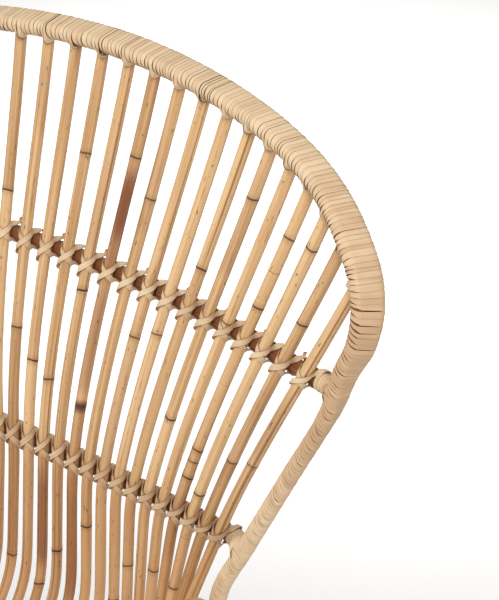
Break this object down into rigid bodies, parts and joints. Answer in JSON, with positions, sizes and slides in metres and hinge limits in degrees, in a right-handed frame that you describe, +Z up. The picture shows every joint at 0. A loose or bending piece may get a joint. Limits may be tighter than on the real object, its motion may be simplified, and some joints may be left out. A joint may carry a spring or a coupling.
{
  "type": "peacock chair",
  "caption": "Rattan fan-back armchair: a peel-wrapped hoop, canes lashed to bowed rails and swept forward into the seat, bent-pole arms and legs.",
  "frame": {"origin": "on the floor, under the middle of the chair's bounding box", "axes": "+Z up, +Y towards the back, +X across the chair"},
  "size_m": [0.85, 0.6604, 1.0643],
  "materials": {
    "cane": "polished natural rattan with darker node rings",
    "pole": "natural rattan pole, lightly varnished",
    "peel": "pale rattan peel, satin",
    "dark_rattan": "dark reddish-brown rattan, varnished",
    "glide": "matt black foot glide"
  },
  "bodies": {
    "root": {"hoop_pole": "peel", "hoop_backer": "peel", "cane_01": "cane", "cane_02": "cane", "cane_03": "cane", "cane_04": "cane", "cane_05": "cane", "cane_06": "cane", "cane_07": "cane", "cane_08": "cane", "cane_09": "cane", "cane_10": "cane", "cane_11": "cane", "cane_12": "cane", "cane_13": "cane", "cane_14": "cane", "cane_15": "cane", "cane_16": "cane", "cane_17": "cane", "cane_18": "cane", "cane_19": "cane", "cane_20": "cane", "cane_21": "cane", "cane_22": "cane", "cane_23": "cane", "cane_24": "cane", "upper_rail": "dark_rattan", "upper_rail_wrap_left": "peel", "upper_rail_wrap_right": "peel", "upper_lashing": "peel", "lower_rail": "dark_rattan", "lower_rail_wrap_left": "peel", "lower_rail_wrap_right": "peel", "lower_lashing": "peel", "arm_left": "pole", "rear_leg_left": "pole", "hoop_binding_left": "peel", "arm_right": "pole", "rear_leg_right": "pole", "hoop_binding_right": "peel", "seat_side_left": "pole", "side_stretcher_left": "pole", "seat_side_right": "pole", "side_stretcher_right": "pole", "seat_rail_rear": "dark_rattan", "seat_rail_middle": "dark_rattan", "seat_rail_front": "dark_rattan", "front_stretcher": "pole", "rear_stretcher": "pole", "foot_glide_front_left": "glide", "foot_glide_rear_left": "glide", "foot_glide_front_right": "glide", "foot_glide_rear_right": "glide"}
  },
  "joints": []
}
